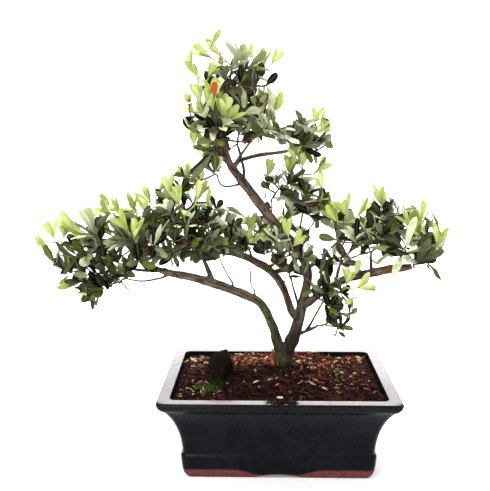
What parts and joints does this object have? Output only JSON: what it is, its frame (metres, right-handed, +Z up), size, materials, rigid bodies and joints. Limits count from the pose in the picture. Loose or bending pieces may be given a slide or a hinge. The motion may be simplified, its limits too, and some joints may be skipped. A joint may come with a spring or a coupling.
{
  "type": "potted bonsai tree",
  "caption": "Small-leaved azalea bonsai with a forked, spreading trunk in a flared rectangular dark glazed pot with a pale rim and arched feet.",
  "frame": {"origin": "middle of the bounding box in plan, at the level the pot's feet stand on", "axes": "+Z up, +X to the right along the pot's long side, -Y towards the front of the pot"},
  "size_m": [0.4457, 0.2068, 0.4567],
  "materials": {
    "pot_glaze": "semi-gloss dark glaze over fired clay, pale rim, bare clay feet",
    "soil": "rough moist fibrous soil",
    "mossy_stone": "rough dark stone with moss",
    "bark": "rough grey-brown bark",
    "mature_leaves": "satin dark green leaves",
    "young_leaves": "satin yellow-green leaves",
    "drainage_mesh": "matt moulded net"
  },
  "bodies": {
    "root": {"drainage_mesh_left": "drainage_mesh", "drainage_mesh_right": "drainage_mesh", "mossy_stone": "mossy_stone", "pot": "pot_glaze", "soil": "soil", "spray_back": "mature_leaves", "spray_bough_end": "mature_leaves", "spray_centre": "mature_leaves", "spray_crown_back": "mature_leaves", "spray_crown_left": "mature_leaves", "spray_crown_low": "mature_leaves", "spray_crown_mid": "mature_leaves", "spray_crown_right": "mature_leaves", "spray_crown_tip": "mature_leaves", "spray_crown_top": "mature_leaves", "spray_left_low": "mature_leaves", "spray_left_spur": "mature_leaves", "spray_left_tip": "mature_leaves", "spray_low_right": "mature_leaves", "spray_low_right_rise": "mature_leaves", "spray_middle_end": "mature_leaves", "spray_middle_rise": "mature_leaves", "spray_middle_twig": "mature_leaves", "spray_right_back": "mature_leaves", "spray_right_end": "mature_leaves", "spray_right_rise": "mature_leaves", "spray_right_spur": "mature_leaves", "spray_shoulder": "mature_leaves", "spray_shoulder_left": "mature_leaves", "trunk_and_branches": "bark", "young_shoot_01": "young_leaves", "young_shoot_02": "young_leaves", "young_shoot_03": "young_leaves", "young_shoot_04": "young_leaves", "young_shoot_05": "young_leaves", "young_shoot_06": "young_leaves", "young_shoot_07": "young_leaves", "young_shoot_08": "young_leaves", "young_shoot_09": "young_leaves", "young_shoot_10": "young_leaves", "young_shoot_11": "young_leaves", "young_shoot_12": "young_leaves", "young_shoot_13": "young_leaves", "young_shoot_14": "young_leaves", "young_shoot_15": "young_leaves", "young_shoot_16": "young_leaves", "young_shoot_17": "young_leaves", "young_shoot_18": "young_leaves", "young_shoot_19": "young_leaves", "young_shoot_20": "young_leaves", "young_shoot_21": "young_leaves", "young_shoot_22": "young_leaves", "young_shoot_23": "young_leaves", "young_shoot_24": "young_leaves", "young_shoot_25": "young_leaves", "young_shoot_26": "young_leaves", "young_shoot_27": "young_leaves", "young_shoot_28": "young_leaves", "young_shoot_29": "young_leaves"}
  },
  "joints": []
}
